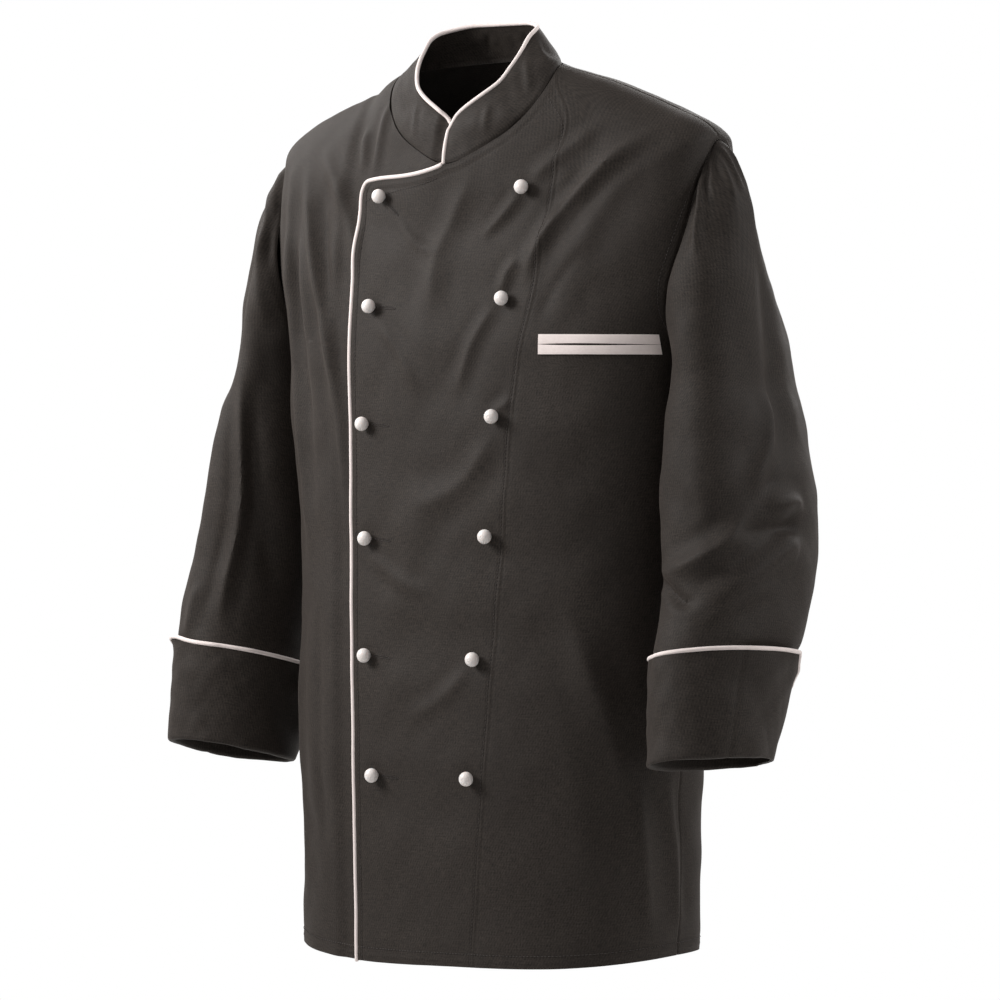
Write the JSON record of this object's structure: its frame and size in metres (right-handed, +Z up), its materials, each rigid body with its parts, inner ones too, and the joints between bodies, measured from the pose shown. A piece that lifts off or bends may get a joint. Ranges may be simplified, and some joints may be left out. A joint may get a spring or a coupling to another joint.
{
  "type": "chef jacket",
  "caption": "Long-sleeved double-breasted chef jacket worn on an unseen figure, with stand collar, turned-up cuffs, breast pocket and light piping.",
  "frame": {"origin": "between the two side neck points, level with them, where the jacket hangs on shoulders or on a hanger", "axes": "+Z up along the body, -Y out of the front, +X toward the wearer's left sleeve"},
  "size_m": [0.6432, 0.2416, 0.8205],
  "materials": {
    "anthracite_twill": "fine cotton twill, soft sheen",
    "cream_piping": "matte woven cord cover",
    "white_button": "smooth, slightly glossy"
  },
  "bodies": {
    "root": {"front_left_centre": "anthracite_twill", "front_left_side": "anthracite_twill", "front_right": "anthracite_twill", "back": "anthracite_twill", "collar": "anthracite_twill", "sleeve_left": "anthracite_twill", "sleeve_right": "anthracite_twill", "cuff_left": "anthracite_twill", "cuff_right": "anthracite_twill", "piping_collar": "cream_piping", "piping_front": "cream_piping", "piping_cuff_left": "cream_piping", "piping_cuff_right": "cream_piping", "pocket_welt_upper": "cream_piping", "pocket_welt_lower": "cream_piping", "button_outer_1": "white_button", "button_outer_2": "white_button", "button_outer_3": "white_button", "button_outer_4": "white_button", "button_outer_5": "white_button", "button_outer_6": "white_button", "button_inner_1": "white_button", "button_inner_2": "white_button", "button_inner_3": "white_button", "button_inner_4": "white_button", "button_inner_5": "white_button", "button_inner_6": "white_button"}
  },
  "joints": []
}
